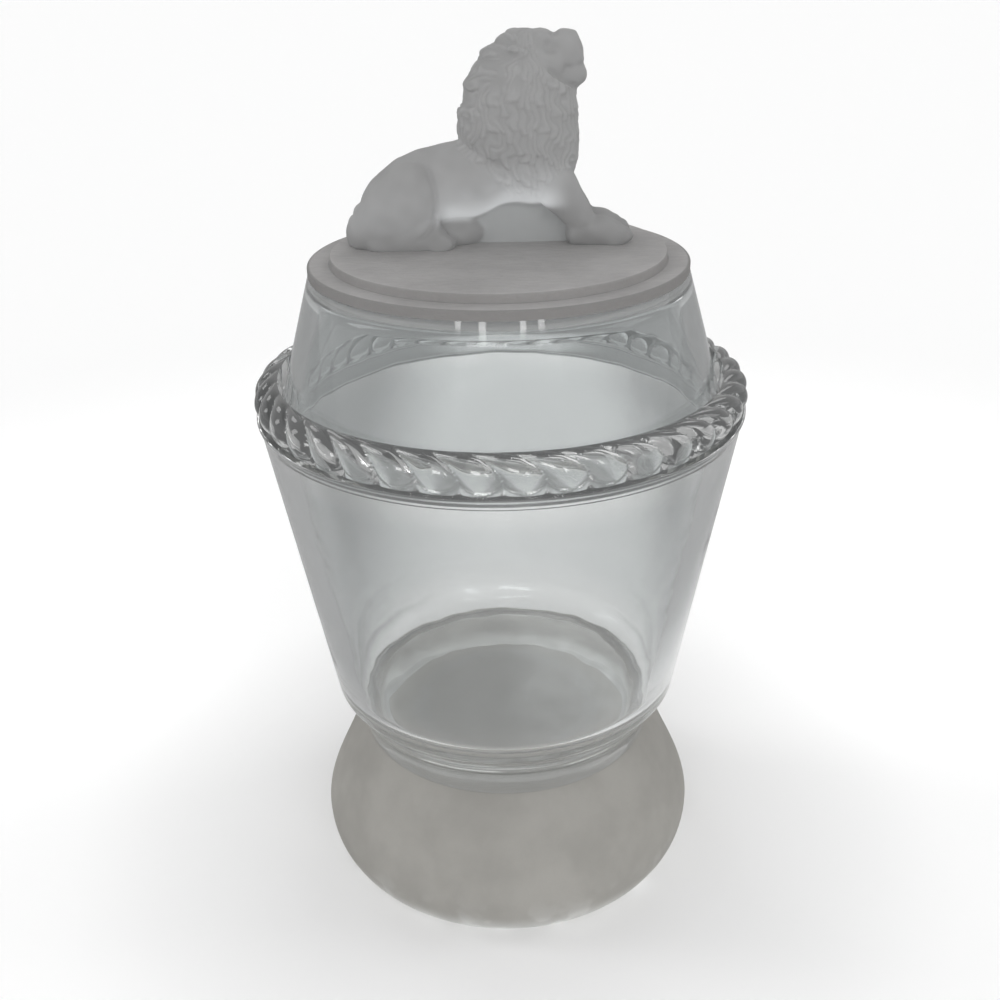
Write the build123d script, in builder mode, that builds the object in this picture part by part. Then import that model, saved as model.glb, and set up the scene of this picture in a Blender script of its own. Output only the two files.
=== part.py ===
"""Pressed-glass marmalade jar: hollow frosted foot, clear tapered bowl with a rope rim,
and a clear lift-off cover that carries a frosted lion lying on a round plateau.

Millimetres, +Z up. The origin is the middle of the foot on the table.
The lion faces +X and lies behind the middle of its plateau.
"""

import os
from math import cos, radians, sin

from build123d import *

os.makedirs("parts", exist_ok=True)

# Foot, a frosted skirt with a hollow under it; heights are above the table
base_radius = 39.6
bulge_radius = 42.5
bulge_height = 8.8
flare_middle_radius = 39.0
flare_middle_height = 18.8
neck_radius = 32.4
neck_height = 30.8
skirt_wall = 5.6
hollow_shoulder_radius = 27.5
hollow_shoulder_height = 18.0
hollow_roof_radius = 20.0
hollow_roof_height = 25.0

# Bowl, clear glass; heights are above the table
bowl_corner_radius = 38.2
bowl_corner_height = 43.5
bowl_corner_rounding = 0.8
bowl_floor_height = 41.0
bowl_floor_fillet = 5.0
bowl_top_radius = 49.1
bowl_top_height = 106.4
bowl_wall = 4.9
gallery_wall = 4.5
lip_overhang = 0.5
lip_slope = 0.3
lip_thickness = 0.9
ledge_depth = 2.4

# Rope rim, a ring of slanting strands that stands on the bowl's lip
rope_inset = 3.2
rope_tube_radius = 3.8
rope_rise = 3.2
rope_foot_width = 4.5
rope_strands = 40
rope_lay = 11.0
groove_foot_angle = -60
groove_end_angle = 140
groove_radius = 1.7
groove_depth = 1.2

# Cover, clear glass, standing inside the rope rim
seat_clearance = 0.4
seat_gap = 0.3
seat_band_height = 5.5
cover_top_radius = 37.1
shell_height = 30.3
cover_wall = 3.5
cover_roof_thickness = 2.6
cover_roof_fillet = 2.5

# Frosted disc and its raised plateau on top of the cover
disc_thickness = 1.8
plateau_radius = 32.7
plateau_thickness = 1.7
edge_rounding = 0.4

# Lion, frosted; its outlines are drawn in units, so many of them to its height
lion_height = 39.9
lion_units = 40
lion_setback = 6.0
web_thickness = 3.4

# Sizes that follow from those above
lip_top = bowl_top_height + lip_thickness
ledge_height = bowl_top_height - ledge_depth
rope_centre_radius = bowl_top_radius - rope_inset
rope_centre_height = lip_top + rope_rise
gallery_radius = bowl_top_radius - gallery_wall
seat_radius = gallery_radius - seat_clearance
cover_bottom = ledge_height + seat_gap
band_top = cover_bottom + seat_band_height
shell_top = cover_bottom + shell_height
roof_height = shell_top - cover_roof_thickness
disc_top = shell_top + disc_thickness
plateau_top = disc_top + plateau_thickness
carve = lion_height / lion_units


def bowl_radius(height):
    """Outer radius of the bowl's straight cone at a height."""
    share = (height - bowl_corner_height) / (bowl_top_height - bowl_corner_height)
    return bowl_corner_radius + share * (bowl_top_radius - bowl_corner_radius)


def circles_at(part, height):
    """The round edges of a part that lie at a height."""
    near = 0.05
    return part.edges().filter_by(GeomType.CIRCLE).filter_by_position(
        Axis.Z, height - near, height + near
    )


# Foot: the skirt turns out from the table, bulges and narrows to the neck
with BuildPart() as foot:
    hollow_mouth_radius = base_radius - skirt_wall
    with BuildSketch(Plane.XZ):
        with BuildLine():
            Polyline(
                (hollow_roof_radius, hollow_roof_height),
                (0, hollow_roof_height),
                (0, neck_height),
                (neck_radius, neck_height),
            )
            Spline(
                (neck_radius, neck_height),
                (flare_middle_radius, flare_middle_height),
                (bulge_radius, bulge_height),
                (base_radius, 0),
            )
            Line((base_radius, 0), (hollow_mouth_radius, 0))
            Spline(
                (hollow_mouth_radius, 0),
                (hollow_shoulder_radius, hollow_shoulder_height),
                (hollow_roof_radius, hollow_roof_height),
            )
        make_face()
    revolve(axis=Axis.Z)
foot.part.label = "foot"

# Bowl: solid neck and bottom, a cove, a straight cone, the lip and the cover's ledge
with BuildPart() as bowl:
    with BuildSketch(Plane.XZ):
        with BuildLine():
            Spline(
                (neck_radius, neck_height),
                (bowl_corner_radius, bowl_corner_height),
                tangents=((0, 1), (1, 1)),
            )
            Polyline(
                (bowl_corner_radius, bowl_corner_height),
                (bowl_top_radius, bowl_top_height),
                (bowl_top_radius + lip_overhang, bowl_top_height + lip_slope),
                (bowl_top_radius + lip_overhang, lip_top),
                (gallery_radius, lip_top),
                (gallery_radius, ledge_height),
                (bowl_radius(ledge_height) - bowl_wall, ledge_height),
                (bowl_radius(bowl_floor_height) - bowl_wall, bowl_floor_height),
                (0, bowl_floor_height),
                (0, neck_height),
                (neck_radius, neck_height),
            )
        make_face()
    revolve(axis=Axis.Z)
    fillet(circles_at(bowl, bowl_floor_height), bowl_floor_fillet)
    fillet(circles_at(bowl, bowl_corner_height), bowl_corner_rounding)
bowl.part.label = "bowl"


def beside_rope(angle, turn, distance):
    """Point at a distance from the rope's core, at an angle up from outwards."""
    reach = rope_centre_radius + distance * cos(radians(angle))
    return (
        reach * cos(radians(turn)),
        reach * sin(radians(turn)),
        rope_centre_height + distance * sin(radians(angle)),
    )


def groove_turn(angle):
    """Turn of a groove round the jar: none at its foot, then ever more up and inwards."""
    share = (angle - groove_foot_angle) / (groove_end_angle - groove_foot_angle)
    return -rope_lay * share**3


# Rope rim: a ring, flat inside and below, with a slanting groove between two strands
with BuildPart() as rope_rim:
    with BuildSketch(Plane.XZ):
        with Locations((rope_centre_radius, rope_centre_height)):
            Circle(rope_tube_radius)
        with Locations((rope_centre_radius, lip_top)):
            Rectangle(rope_foot_width, rope_rise, align=(Align.CENTER, Align.MIN))
        with Locations((gallery_radius, lip_top)):
            Rectangle(
                rope_centre_radius,
                rope_rise + rope_tube_radius,
                align=(Align.MIN, Align.MIN),
                mode=Mode.INTERSECT,
            )
    revolve(axis=Axis.Z)
    groove_reach = rope_tube_radius + groove_radius - groove_depth
    with BuildPart(mode=Mode.PRIVATE) as groove:
        with BuildLine():
            run = Spline(
                *[
                    beside_rope(angle, groove_turn(angle), groove_reach)
                    for angle in range(groove_foot_angle, groove_end_angle + 1, 40)
                ]
            )
        with BuildSketch(Plane(origin=run @ 0, z_dir=run % 0)):
            Circle(groove_radius)
        sweep(path=run)
    with PolarLocations(0, rope_strands):
        add(groove.part, mode=Mode.SUBTRACT)
rope_rim.part.label = "rope_rim"

# Cover shell: a seating band that fits inside the rope rim, a cone and a flat roof
with BuildPart() as cover_shell:
    with BuildSketch(Plane.XZ):
        with BuildLine():
            Polyline(
                (seat_radius, cover_bottom),
                (seat_radius, band_top),
                (cover_top_radius, shell_top),
                (0, shell_top),
                (0, roof_height),
                (cover_top_radius - cover_wall, roof_height),
                (seat_radius - cover_wall, band_top),
                (seat_radius - cover_wall, cover_bottom),
                close=True,
            )
        make_face()
    revolve(axis=Axis.Z)
    fillet(circles_at(cover_shell, roof_height), cover_roof_fillet)
cover_shell.part.label = "cover_shell"

# Cover top: the frosted disc, flush with the cone, and its plateau
with BuildPart() as cover_top:
    with BuildSketch(Plane.XY.offset(shell_top)):
        Circle(cover_top_radius)
    extrude(amount=disc_thickness)
    with BuildSketch(Plane.XY.offset(disc_top)):
        Circle(plateau_radius)
    extrude(amount=plateau_thickness)
    fillet(circles_at(cover_top, plateau_top), edge_rounding)
cover_top.part.label = "cover_top"


def across_lion(along, up, tilt, side):
    """Plane across the lion; a tilt of 0 faces its nose and one of 90 lies level."""
    return Plane(
        origin=(carve * along, lion_setback + carve * side, plateau_top + carve * up),
        x_dir=(0, 1, 0),
        z_dir=(cos(radians(tilt)), 0, sin(radians(tilt))),
    )


def swell(*stations, side=0):
    """Loft through ellipses: along, up, tilt, half height and half width of each, in units."""
    outlines = []
    for along, up, tilt, half_height, half_width in stations:
        with BuildSketch(across_lion(along, up, tilt, side)) as outline:
            Ellipse(carve * half_width, carve * half_height)
        outlines.append(outline.sketch)
    loft(outlines)


# Lion, lying with its head up, cut flat where it joins the plateau
with BuildPart() as lion:
    # Rump and trunk
    swell(
        (-30.4, 1.6, 0, 1.6, 2.2),
        (-29.4, 2.6, 0, 3.4, 4.8),
        (-26.6, 4.4, 0, 5.6, 6.6),
        (-20.5, 6.6, 0, 8.9, 7.2),
        (-12.0, 9.6, 0, 9.0, 7.2),
        (-2.0, 12.2, 0, 7.3, 6.8),
        (6.0, 13.8, 0, 5.6, 6.4),
        (13.0, 12.4, 0, 4.6, 5.2),
    )
    # Mane, from the chest up to the crown
    swell(
        (8.0, 7.0, 90, 4.2, 4.6),
        (6.4, 11.5, 90, 8.0, 6.8),
        (5.0, 17.0, 90, 10.9, 8.0),
        (4.2, 22.0, 90, 11.6, 8.3),
        (4.6, 27.0, 90, 10.9, 8.0),
        (4.4, 31.5, 90, 9.4, 7.2),
        (4.6, 35.5, 90, 7.0, 6.0),
        (6.0, 38.4, 90, 4.6, 4.2),
        (7.6, lion_units, 90, 1.8, 1.8),
    )
    # Head, out of the mane to the blunt nose
    swell(
        (5.0, 33.6, 0, 5.4, 4.8),
        (10.4, 34.2, 0, 4.6, 4.0),
        (13.6, 34.2, 0, 4.8, 3.5),
        (16.6, 34.0, 0, 4.3, 2.9),
    )
    for hand in (-1, 1):
        # Thigh
        swell(
            (-28.0, 3.4, 0, 2.6, 1.6),
            (-24.5, 5.0, 0, 5.4, 3.0),
            (-19.0, 6.4, 0, 7.6, 3.8),
            (-14.0, 7.0, 0, 7.0, 3.2),
            (-11.4, 7.4, 0, 3.4, 1.6),
            side=4.6 * hand,
        )
        # Hind paw
        swell(
            (-19.0, 1.6, 0, 3.0, 1.8),
            (-11.0, 1.8, 0, 3.4, 2.2),
            (-5.6, 1.4, 0, 3.0, 2.2),
            (-3.0, 0.8, 0, 1.6, 1.5),
            side=5.2 * hand,
        )
        # Foreleg
        swell(
            (9.4, 13.0, -52, 4.4, 2.6),
            (13.4, 8.8, -48, 4.0, 2.5),
            (18.0, 3.8, -42, 3.6, 2.3),
            side=3.8 * hand,
        )
        # Front paw
        swell(
            (14.0, 1.4, 0, 3.2, 2.2),
            (18.0, 1.8, 0, 3.8, 2.6),
            (22.6, 1.6, 0, 3.7, 2.7),
            (26.2, 1.0, 0, 2.4, 2.3),
            (28.0, 0.6, 0, 1.0, 1.4),
            side=3.6 * hand,
        )
        # Ear
        swell(
            (3.6, 35.0, 30, 1.0, 0.8),
            (4.6, 35.6, 30, 1.8, 1.3),
            (6.0, 36.4, 30, 0.8, 0.6),
            side=5.0 * hand,
        )
    # Web of glass that fills the space between belly, paws and plateau
    with BuildSketch(Plane.XZ.offset(-lion_setback)):
        with BuildLine():
            Polyline(
                *[
                    (carve * along, plateau_top + carve * up)
                    for along, up in ((-5, 0), (-5, 6), (4, 10.5), (10, 10), (15, 5), (15, 0))
                ],
                close=True,
            )
        make_face()
    extrude(amount=web_thickness / 2, both=True)
    split(bisect_by=Plane.XY.offset(plateau_top), keep=Keep.TOP)
lion.part.label = "lion"

for piece in (foot, bowl, rope_rim, cover_shell, cover_top, lion):
    export_step(piece.part, f"parts/{piece.part.label}.step")
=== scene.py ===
"""Looks of a pressed-glass marmalade jar with a frosted foot and a lion on its cover."""

import math

import bpy
import numpy as np
from mathutils import Matrix, Vector


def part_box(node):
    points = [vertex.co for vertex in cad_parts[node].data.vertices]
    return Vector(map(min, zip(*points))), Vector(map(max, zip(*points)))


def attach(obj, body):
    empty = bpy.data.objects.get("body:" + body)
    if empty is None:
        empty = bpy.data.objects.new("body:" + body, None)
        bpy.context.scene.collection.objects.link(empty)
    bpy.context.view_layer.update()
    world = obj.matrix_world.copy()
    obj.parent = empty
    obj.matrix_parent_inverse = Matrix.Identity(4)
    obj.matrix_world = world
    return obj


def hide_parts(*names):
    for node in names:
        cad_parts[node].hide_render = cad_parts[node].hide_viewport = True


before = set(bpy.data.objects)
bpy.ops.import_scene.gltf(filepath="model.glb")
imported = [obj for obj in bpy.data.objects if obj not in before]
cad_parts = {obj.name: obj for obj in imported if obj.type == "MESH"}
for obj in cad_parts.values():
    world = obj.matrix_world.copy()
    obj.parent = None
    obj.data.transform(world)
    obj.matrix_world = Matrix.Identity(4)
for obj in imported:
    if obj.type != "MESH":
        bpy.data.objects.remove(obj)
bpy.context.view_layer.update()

bl_info = {
    "name": "Marmalade jar",
    "version": (1, 0, 0),
    "blender": (4, 5, 0),
    "location": "3D View > Sidebar > Jar",
    "description": "Clear and frosted glass, rope rim and lion of a marmalade jar",
    "category": "Object",
}

MM = 0.001
SHARP_ANGLE = math.radians(34)


def node_box(node):
    """Lowest and highest corner of a CAD node, in metres, as arrays."""
    low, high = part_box(node)
    return np.array(low), np.array(high)


FOOT_HIGH = node_box("foot")[1]
BOWL_LOW, BOWL_HIGH = node_box("bowl")
SHELL_LOW, SHELL_HIGH = node_box("cover_shell")
DISC_LOW, DISC_HIGH = node_box("cover_top")
LION_LOW, LION_HIGH = node_box("lion")


# Shader recipes


class Shade:
    """A number from a recipe; sums and products of it add Math nodes."""

    def __init__(self, recipe, socket):
        self.recipe = recipe
        self.socket = socket

    def maths(self, operation, *terms):
        """One Math node on the terms given."""
        settings = {"operation": operation}
        return Shade(self.recipe, self.recipe.node("ShaderNodeMath", settings, *terms))

    def __add__(self, other):
        return self.maths("ADD", self, other)

    def __sub__(self, other):
        return self.maths("SUBTRACT", self, other)

    def __rsub__(self, other):
        return self.maths("SUBTRACT", other, self)

    def __mul__(self, other):
        return self.maths("MULTIPLY", self, other)

    def __truediv__(self, other):
        return self.maths("DIVIDE", self, other)

    def __pow__(self, other):
        return self.maths("POWER", self, other)

    def __abs__(self):
        return self.maths("ABSOLUTE", self)

    def __or__(self, other):
        return self.maths("MAXIMUM", self, other)

    __radd__ = __add__
    __rmul__ = __mul__

    def between(self, low, high):
        """0 below low, 1 above high and a smooth step between them."""
        settings = {"interpolation_type": "SMOOTHSTEP"}
        values = {"Value": self, "From Min": low, "From Max": high}
        return Shade(self.recipe, self.recipe.node("ShaderNodeMapRange", settings, **values))


class Recipe:
    """The node tree of one material or of the world."""

    def __init__(self, tree):
        self.tree = tree
        tree.nodes.clear()

    def fill(self, socket, value):
        """Sets a socket to a number, colour or vector, or links it."""
        if isinstance(value, Shade):
            value = value.socket
        if isinstance(value, bpy.types.NodeSocket):
            self.tree.links.new(value, socket)
        elif isinstance(value, (tuple, list)) and socket.type == "RGBA" and len(value) == 3:
            socket.default_value = (*value, 1.0)
        else:
            socket.default_value = value

    def node(self, kind, settings=None, *values, output=0, **named):
        """Adds a node: its settings first, then its sockets by place or by name."""
        made = self.tree.nodes.new(kind)
        for key, value in (settings or {}).items():
            setattr(made, key, value)
        for socket, value in zip(made.inputs, values):
            self.fill(socket, value)
        for key, value in named.items():
            self.fill(made.inputs[key.replace("_", " ")], value)
        return made.outputs[output] if made.outputs else None

    def noise(self, point, scale, detail=2.0, roughness=0.5):
        """Noise from 0 to 1; scale is its turns per metre."""
        values = {"Vector": point, "Scale": scale, "Detail": detail, "Roughness": roughness}
        return Shade(self, self.node("ShaderNodeTexNoise", None, **values))

    def dot(self, first, second):
        """Dot product of two vectors, as a number."""
        settings = {"operation": "DOT_PRODUCT"}
        return Shade(self, self.node("ShaderNodeVectorMath", settings, first, second, output=1))

    def blend(self, share, first, second):
        """Colour between two others; a Mix node's colour sockets are its 7th and 8th."""
        made = self.tree.nodes.new("ShaderNodeMix")
        made.data_type = "RGBA"
        for place, value in ((0, share), (6, first), (7, second)):
            self.fill(made.inputs[place], value)
        return made.outputs[2]

    def point(self):
        """The point's place in its object's own frame, as a vector in metres."""
        return self.node("ShaderNodeTexCoord", output=3)

    def axes(self, point):
        """The three parts of a point, in mm."""
        return [
            Shade(self, self.node("ShaderNodeSeparateXYZ", None, point, output=axis)) / MM
            for axis in range(3)
        ]

    def from_axis(self, point):
        """Distance of a point from the jar's upright axis, in mm."""
        x, y, _ = self.axes(point)
        return (x * x + y * y) ** 0.5

    def rays(self):
        """Four numbers that are 1 for rays of a kind: camera, mirrored, through glass, dull."""
        path = self.node("ShaderNodeLightPath").node
        return [
            Shade(self, path.outputs[f"Is {kind} Ray"])
            for kind in ("Camera", "Glossy", "Transmission", "Diffuse")
        ]


def new_material(name):
    """An empty material and its recipe."""
    material = bpy.data.materials.new(name)
    material.use_nodes = True
    return material, Recipe(material.node_tree)


def clear_glass(name, tint, clean=None, thick=True):
    """Fire-polished pressed glass: smooth, with the slow ripples that a mould leaves.

    Its walls have the tint; the jar's solid bottom and its rope rim are painted a lighter
    tint, painted light that lifts their shade. Its skin glows faintly, a painted light.
    Thick glass also dims what is seen through it by the length of the way.
    """
    material, recipe = new_material(name)
    point = recipe.point()
    height = recipe.axes(point)[2]
    tint = tuple(tint)
    # The bottom and the rope rim take a lighter tint: painted light that lifts their shade.
    if clean is not None:
        wall = height.between(40.0, 54.0) * (1 - height.between(98.0, 105.0))
        tint = recipe.blend(wall, tuple(clean), tint)
    ripple = recipe.noise(point, 55.0, 2.0)
    normal = recipe.node(
        "ShaderNodeBump", None, Strength=1.0, Distance=0.16 * MM, Height=ripple
    )
    glass = recipe.node(
        "ShaderNodeBsdfPrincipled",
        None,
        Base_Color=tint,
        Roughness=0.0,
        IOR=1.5,
        Transmission_Weight=1.0,
        # A faint painted glow on the clear skin.
        Emission_Color=(0.95, 0.96, 0.97),
        Emission_Strength=0.022,
        Normal=normal,
    )
    output = {"Surface": glass}
    if thick:
        output["Volume"] = recipe.node(
            "ShaderNodeVolumeAbsorption", None, Color=(0.70, 0.71, 0.705), Density=30.0
        )
    recipe.node("ShaderNodeOutputMaterial", None, **output)
    return material


def frosted_glass(
    name, settings, pale=(1.0, 1.0, 1.0), scratched=False, patch=None, patch_colour=None,
    tone=None, shine=None,
):
    """Ground glass: a satin grey skin, cloudy in places, that lets much light through.

    Its colours are multiplied by pale, which paints a piece lighter to lift its shade.
    Its fine grain is stippled, or drawn out into short strokes where it is scratched.
    patch, tone and shine give numbers from 0 to 1 from the point's place: where the skin
    is painted another colour, darker for shade on the disc's edges and paler for light on
    the lion's web; how pale it is, painted darker in the lion's carved grooves as shade;
    and how much of the light gathered by the glass comes out there as a glow.
    """
    material, recipe = new_material(name)
    point = recipe.point()
    cloud = recipe.noise(point, 70.0, 3.0, 0.55)
    if scratched:
        drawn = {"Rotation": (0, 0, 0.35), "Scale": (0.4, 1, 1)}
        strokes = recipe.node("ShaderNodeMapping", None, point, **drawn)
        fine, grain = recipe.noise(strokes, 900.0, 4.0, 0.7).between(0.34, 0.66), 0.45
    else:
        fine, grain = recipe.noise(point, 2600.0, 2.0, 0.6), 0.05
    share = cloud.between(0.3, 0.72) * 0.7 + fine * 0.3
    if tone is not None:
        share = share * 0.35 + tone(recipe, point) * 0.65
    dull, frost = (
        tuple(np.array(shade) * pale) for shade in (settings.dull, settings.frost)
    )
    colour = recipe.blend(share, dull, frost)
    if patch is not None:
        # Painted light and shade: a patch of the skin painted another colour.
        colour = recipe.blend(patch(recipe, point), colour, tuple(patch_colour))
    glow = (0.0, 0.0, 0.0)
    if shine is not None:
        glow = recipe.blend(shine(recipe, point), glow, (0.95, 0.98, 1.0))
    normal = recipe.node(
        "ShaderNodeBump", None, Strength=0.35, Distance=grain * MM, Height=fine
    )
    skin = recipe.node(
        "ShaderNodeBsdfPrincipled",
        None,
        Base_Color=colour,
        Roughness=0.55,
        IOR=1.45,
        Emission_Color=glow,
        Emission_Strength=1.0,
        Normal=normal,
    )
    through = recipe.node("ShaderNodeBsdfTranslucent", None, Color=colour, Normal=normal)
    mixed = recipe.node("ShaderNodeMixShader", None, settings.through, skin, through)
    recipe.node("ShaderNodeOutputMaterial", None, mixed)
    return material


def ground_hollow(name):
    """The foot's hollow, ground too: seen from inside the glass as a plain pale skin.

    Its paleness and a faint glow are painted light that lifts the hollow's shade, and a
    whiter ring round the roof's edge is a painted highlight.
    """
    material, recipe = new_material(name)
    point = recipe.point()
    cloud = recipe.noise(point, 90.0, 3.0, 0.55).between(0.3, 0.7)
    out = recipe.from_axis(point)
    # Painted highlight: a whiter ring round the edge of the hollow's roof.
    rim = out.between(17.0, 19.0) * (1 - out.between(20.5, 23.0)) * (0.4 + cloud)
    colour = recipe.blend(cloud, (0.92, 0.905, 0.88), (0.97, 0.96, 0.94))
    colour = recipe.blend(rim, colour, (1.0, 1.0, 1.0))
    skin = recipe.node("ShaderNodeBsdfDiffuse", None, Color=colour)
    through = recipe.node("ShaderNodeBsdfTranslucent", None, Color=colour)
    mixed = recipe.node("ShaderNodeMixShader", None, 0.4, skin, through)
    # A faint painted glow.
    glow = recipe.node("ShaderNodeEmission", None, Color=(1.0, 0.97, 0.93), Strength=0.025)
    lit = recipe.node("ShaderNodeAddShader", None, mixed, glow)
    recipe.node("ShaderNodeOutputMaterial", None, lit)
    return material


# Meshes from arrays


def make_piece(name, points, faces, material):
    """A mesh object at the origin from an array of points and a list of faces."""
    mesh = bpy.data.meshes.new(name)
    mesh.from_pydata(points.tolist(), [], faces)
    mesh.polygons.foreach_set("use_smooth", np.ones(len(mesh.polygons), dtype=bool))
    mesh.materials.append(material)
    mesh.update()
    mesh.set_sharp_from_angle(angle=SHARP_ANGLE)
    piece = bpy.data.objects.new(name, mesh)
    bpy.context.scene.collection.objects.link(piece)
    return piece


def turned_faces(rows, columns, first, last):
    """Faces of a turned solid: quads between rows, and a fan to a pole at each end.

    Rows run from the first pole's ring to the last one's; first and last are the poles.
    """
    index = np.arange(rows * columns).reshape(rows, columns)
    beside = np.roll(index, -1, axis=1)
    quads = np.stack([index[:-1], beside[:-1], beside[1:], index[1:]], axis=-1)
    faces = quads.reshape(-1, 4).tolist()
    faces += np.stack([beside[0], index[0], np.full(columns, first)], axis=-1).tolist()
    faces += np.stack([index[-1], beside[-1], np.full(columns, last)], axis=-1).tolist()
    return faces


def turn(name, profile, material, columns, shape=None, skins=()):
    """A solid turned round Z from a profile that starts and ends on the axis.

    Every point of the profile, a radius and a height in mm, is carried round a circle;
    shape may move the grid of points, given with its angles, before the mesh is made.
    Each skin is a material and the two rows of the profile between which it lies.
    """
    profile = np.asarray(profile, dtype=float)
    ring = profile[1:-1]
    turns = np.linspace(0, 2 * np.pi, columns, endpoint=False)
    radius = np.repeat(ring[:, 0:1], columns, axis=1)
    height = np.repeat(ring[:, 1:2], columns, axis=1)
    if shape is not None:
        radius, height = shape(radius, height, turns[None, :])
    grid = np.stack([radius * np.cos(turns), radius * np.sin(turns), height], axis=-1)
    poles = [[0, 0, profile[0, 1]], [0, 0, profile[-1, 1]]]
    points = np.vstack([grid.reshape(-1, 3), poles]) * MM
    rows = len(ring)
    faces = turned_faces(rows, columns, rows * columns, rows * columns + 1)
    piece = make_piece(name, points, faces, material)
    band = np.arange(len(faces)) // columns
    band[-2 * columns :] = np.repeat([0, rows], columns)
    slots = np.zeros(len(faces), dtype=np.int32)
    for place, (skin, first, last) in enumerate(skins):
        piece.data.materials.append(skin)
        slots[(band >= first) & (band < last)] = place + 1
    piece.data.polygons.foreach_set("material_index", slots)
    return piece


def line(start, end, count):
    """Evenly spaced points from start up to but not including end."""
    share = np.linspace(0, 1, count, endpoint=False)[:, None]
    return np.asarray(start) + share * (np.asarray(end) - np.asarray(start))


def straight(start, end, count):
    """A long line whose first and last rows lie close to its ends, so its shade stays flat."""
    inner = np.linspace(0, 1, count)[1:-1]
    share = np.concatenate([[0, 0.012], inner, [0.988]])[:, None]
    return np.asarray(start) + share * (np.asarray(end) - np.asarray(start))


def curve(start, near_start, near_end, end, count):
    """Points of a cubic curve with two handles, up to but not including its end."""
    t = np.linspace(0, 1, count, endpoint=False)[:, None]
    a, b, c, d = (np.asarray(p, dtype=float) for p in (start, near_start, near_end, end))
    return (1 - t) ** 3 * a + 3 * (1 - t) ** 2 * t * b + 3 * (1 - t) * t**2 * c + t**3 * d


def arc(centre, radius, start, end, count):
    """Points of a circle from one angle to another in degrees, the last one left out."""
    angle = np.radians(np.linspace(start, end, count, endpoint=False))[:, None]
    return np.asarray(centre) + radius * np.hstack([np.cos(angle), np.sin(angle)])


# Sizes and colours that a user would change


class JarSettings(bpy.types.PropertyGroup):
    """Foot, bowl and rope rim."""

    strands: bpy.props.IntProperty(
        name="Strands", description="Strands round the rope rim", default=40, min=12
    )
    lay: bpy.props.FloatProperty(
        name="Lay", description="Turn of one strand from its foot to its top, degrees", default=9.0
    )
    groove: bpy.props.FloatProperty(
        name="Groove", description="Depth between two strands, mm", default=2.5
    )
    tint: bpy.props.FloatVectorProperty(
        name="Tint", description="Colour of the bowl's clear walls", subtype="COLOR",
        default=(0.76, 0.775, 0.775),
    )
    # A lighter tint: painted light that lifts the shade of the clear bottom and the rope rim.
    clean: bpy.props.FloatVectorProperty(
        name="Lightened", description="Colour of the clear bottom and of the rope rim",
        subtype="COLOR", default=(0.88, 0.885, 0.88),
    )


class CoverSettings(bpy.types.PropertyGroup):
    """Cover shell, disc and lion."""

    tint: bpy.props.FloatVectorProperty(
        name="Tint", description="Colour of the cover's clear walls", subtype="COLOR",
        default=(0.69, 0.71, 0.71),
    )
    frost: bpy.props.FloatVectorProperty(
        name="Frost", description="Palest colour of the frosted glass", subtype="COLOR",
        default=(0.59, 0.59, 0.59),
    )
    dull: bpy.props.FloatVectorProperty(
        name="Dull frost", description="Darkest colour of the frosted glass", subtype="COLOR",
        default=(0.48, 0.48, 0.48),
    )
    thin: bpy.props.FloatVectorProperty(
        name="Thin frost", description="Colour of frosted glass where light shines through",
        subtype="COLOR", default=(0.58, 0.59, 0.59),
    )
    through: bpy.props.FloatProperty(
        name="Light through", description="Share of the light that frost lets through",
        default=0.6, min=0.0, max=1.0,
    )
    voxel: bpy.props.FloatProperty(
        name="Voxel", description="Mesh size of the lion's skin, mm", default=0.3, min=0.1
    )
    rounding: bpy.props.IntProperty(
        name="Rounding", description="How often the lion's skin is smoothed", default=7, min=0
    )
    relief: bpy.props.FloatProperty(
        name="Relief", description="Strength of the lion's carving", default=1.0
    )


class StageSettings(bpy.types.PropertyGroup):
    """Camera, light and floor."""

    focal: bpy.props.FloatProperty(
        name="Focal length", description="Lens in mm on a 36 mm sensor", default=42.12
    )
    pitch: bpy.props.FloatProperty(
        name="Pitch", description="How far the camera looks down, degrees", default=25.82
    )
    roll: bpy.props.FloatProperty(
        name="Roll", description="How far the picture leans left at the top, degrees", default=1.07
    )
    distance: bpy.props.FloatProperty(
        name="Distance", description="Level distance from the jar's axis", default=0.2263,
        subtype="DISTANCE",
    )
    height: bpy.props.FloatProperty(
        name="Height", description="Height of the camera over the table", default=0.193,
        subtype="DISTANCE",
    )
    aside: bpy.props.FloatProperty(
        name="Aside", description="Shift of the camera to the left", default=0.00058,
        subtype="DISTANCE",
    )


# The stage


ROOM_LIGHT = 1.3
FLOOR_GREY = 0.7
# Strength, azimuth, elevation, half width and half height. Only mirrored rays and those
# through glass see the bright windows; the streaks are small ones, low in front.
WINDOWS = (
    (1.3, -85, 36, 0.6, 0.3),
    (3.2, 165, 38, 0.12, 0.26),
    (1.6, 12, 42, 0.2, 0.28),
    (1.4, 75, 30, 0.2, 0.12),
    (2.0, 118, 34, 0.12, 0.12),
)
BRIGHT_WINDOWS = ((8.0, -99, 33, 0.2, 0.15), (6.0, -62, 30, 0.08, 0.15))
STREAKS = (-141, -114, -100, -77, -66)
STREAK_STRENGTH, STREAK_SHAPE = 7.0, (15.5, 0.03, 0.03, 0.012)


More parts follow.
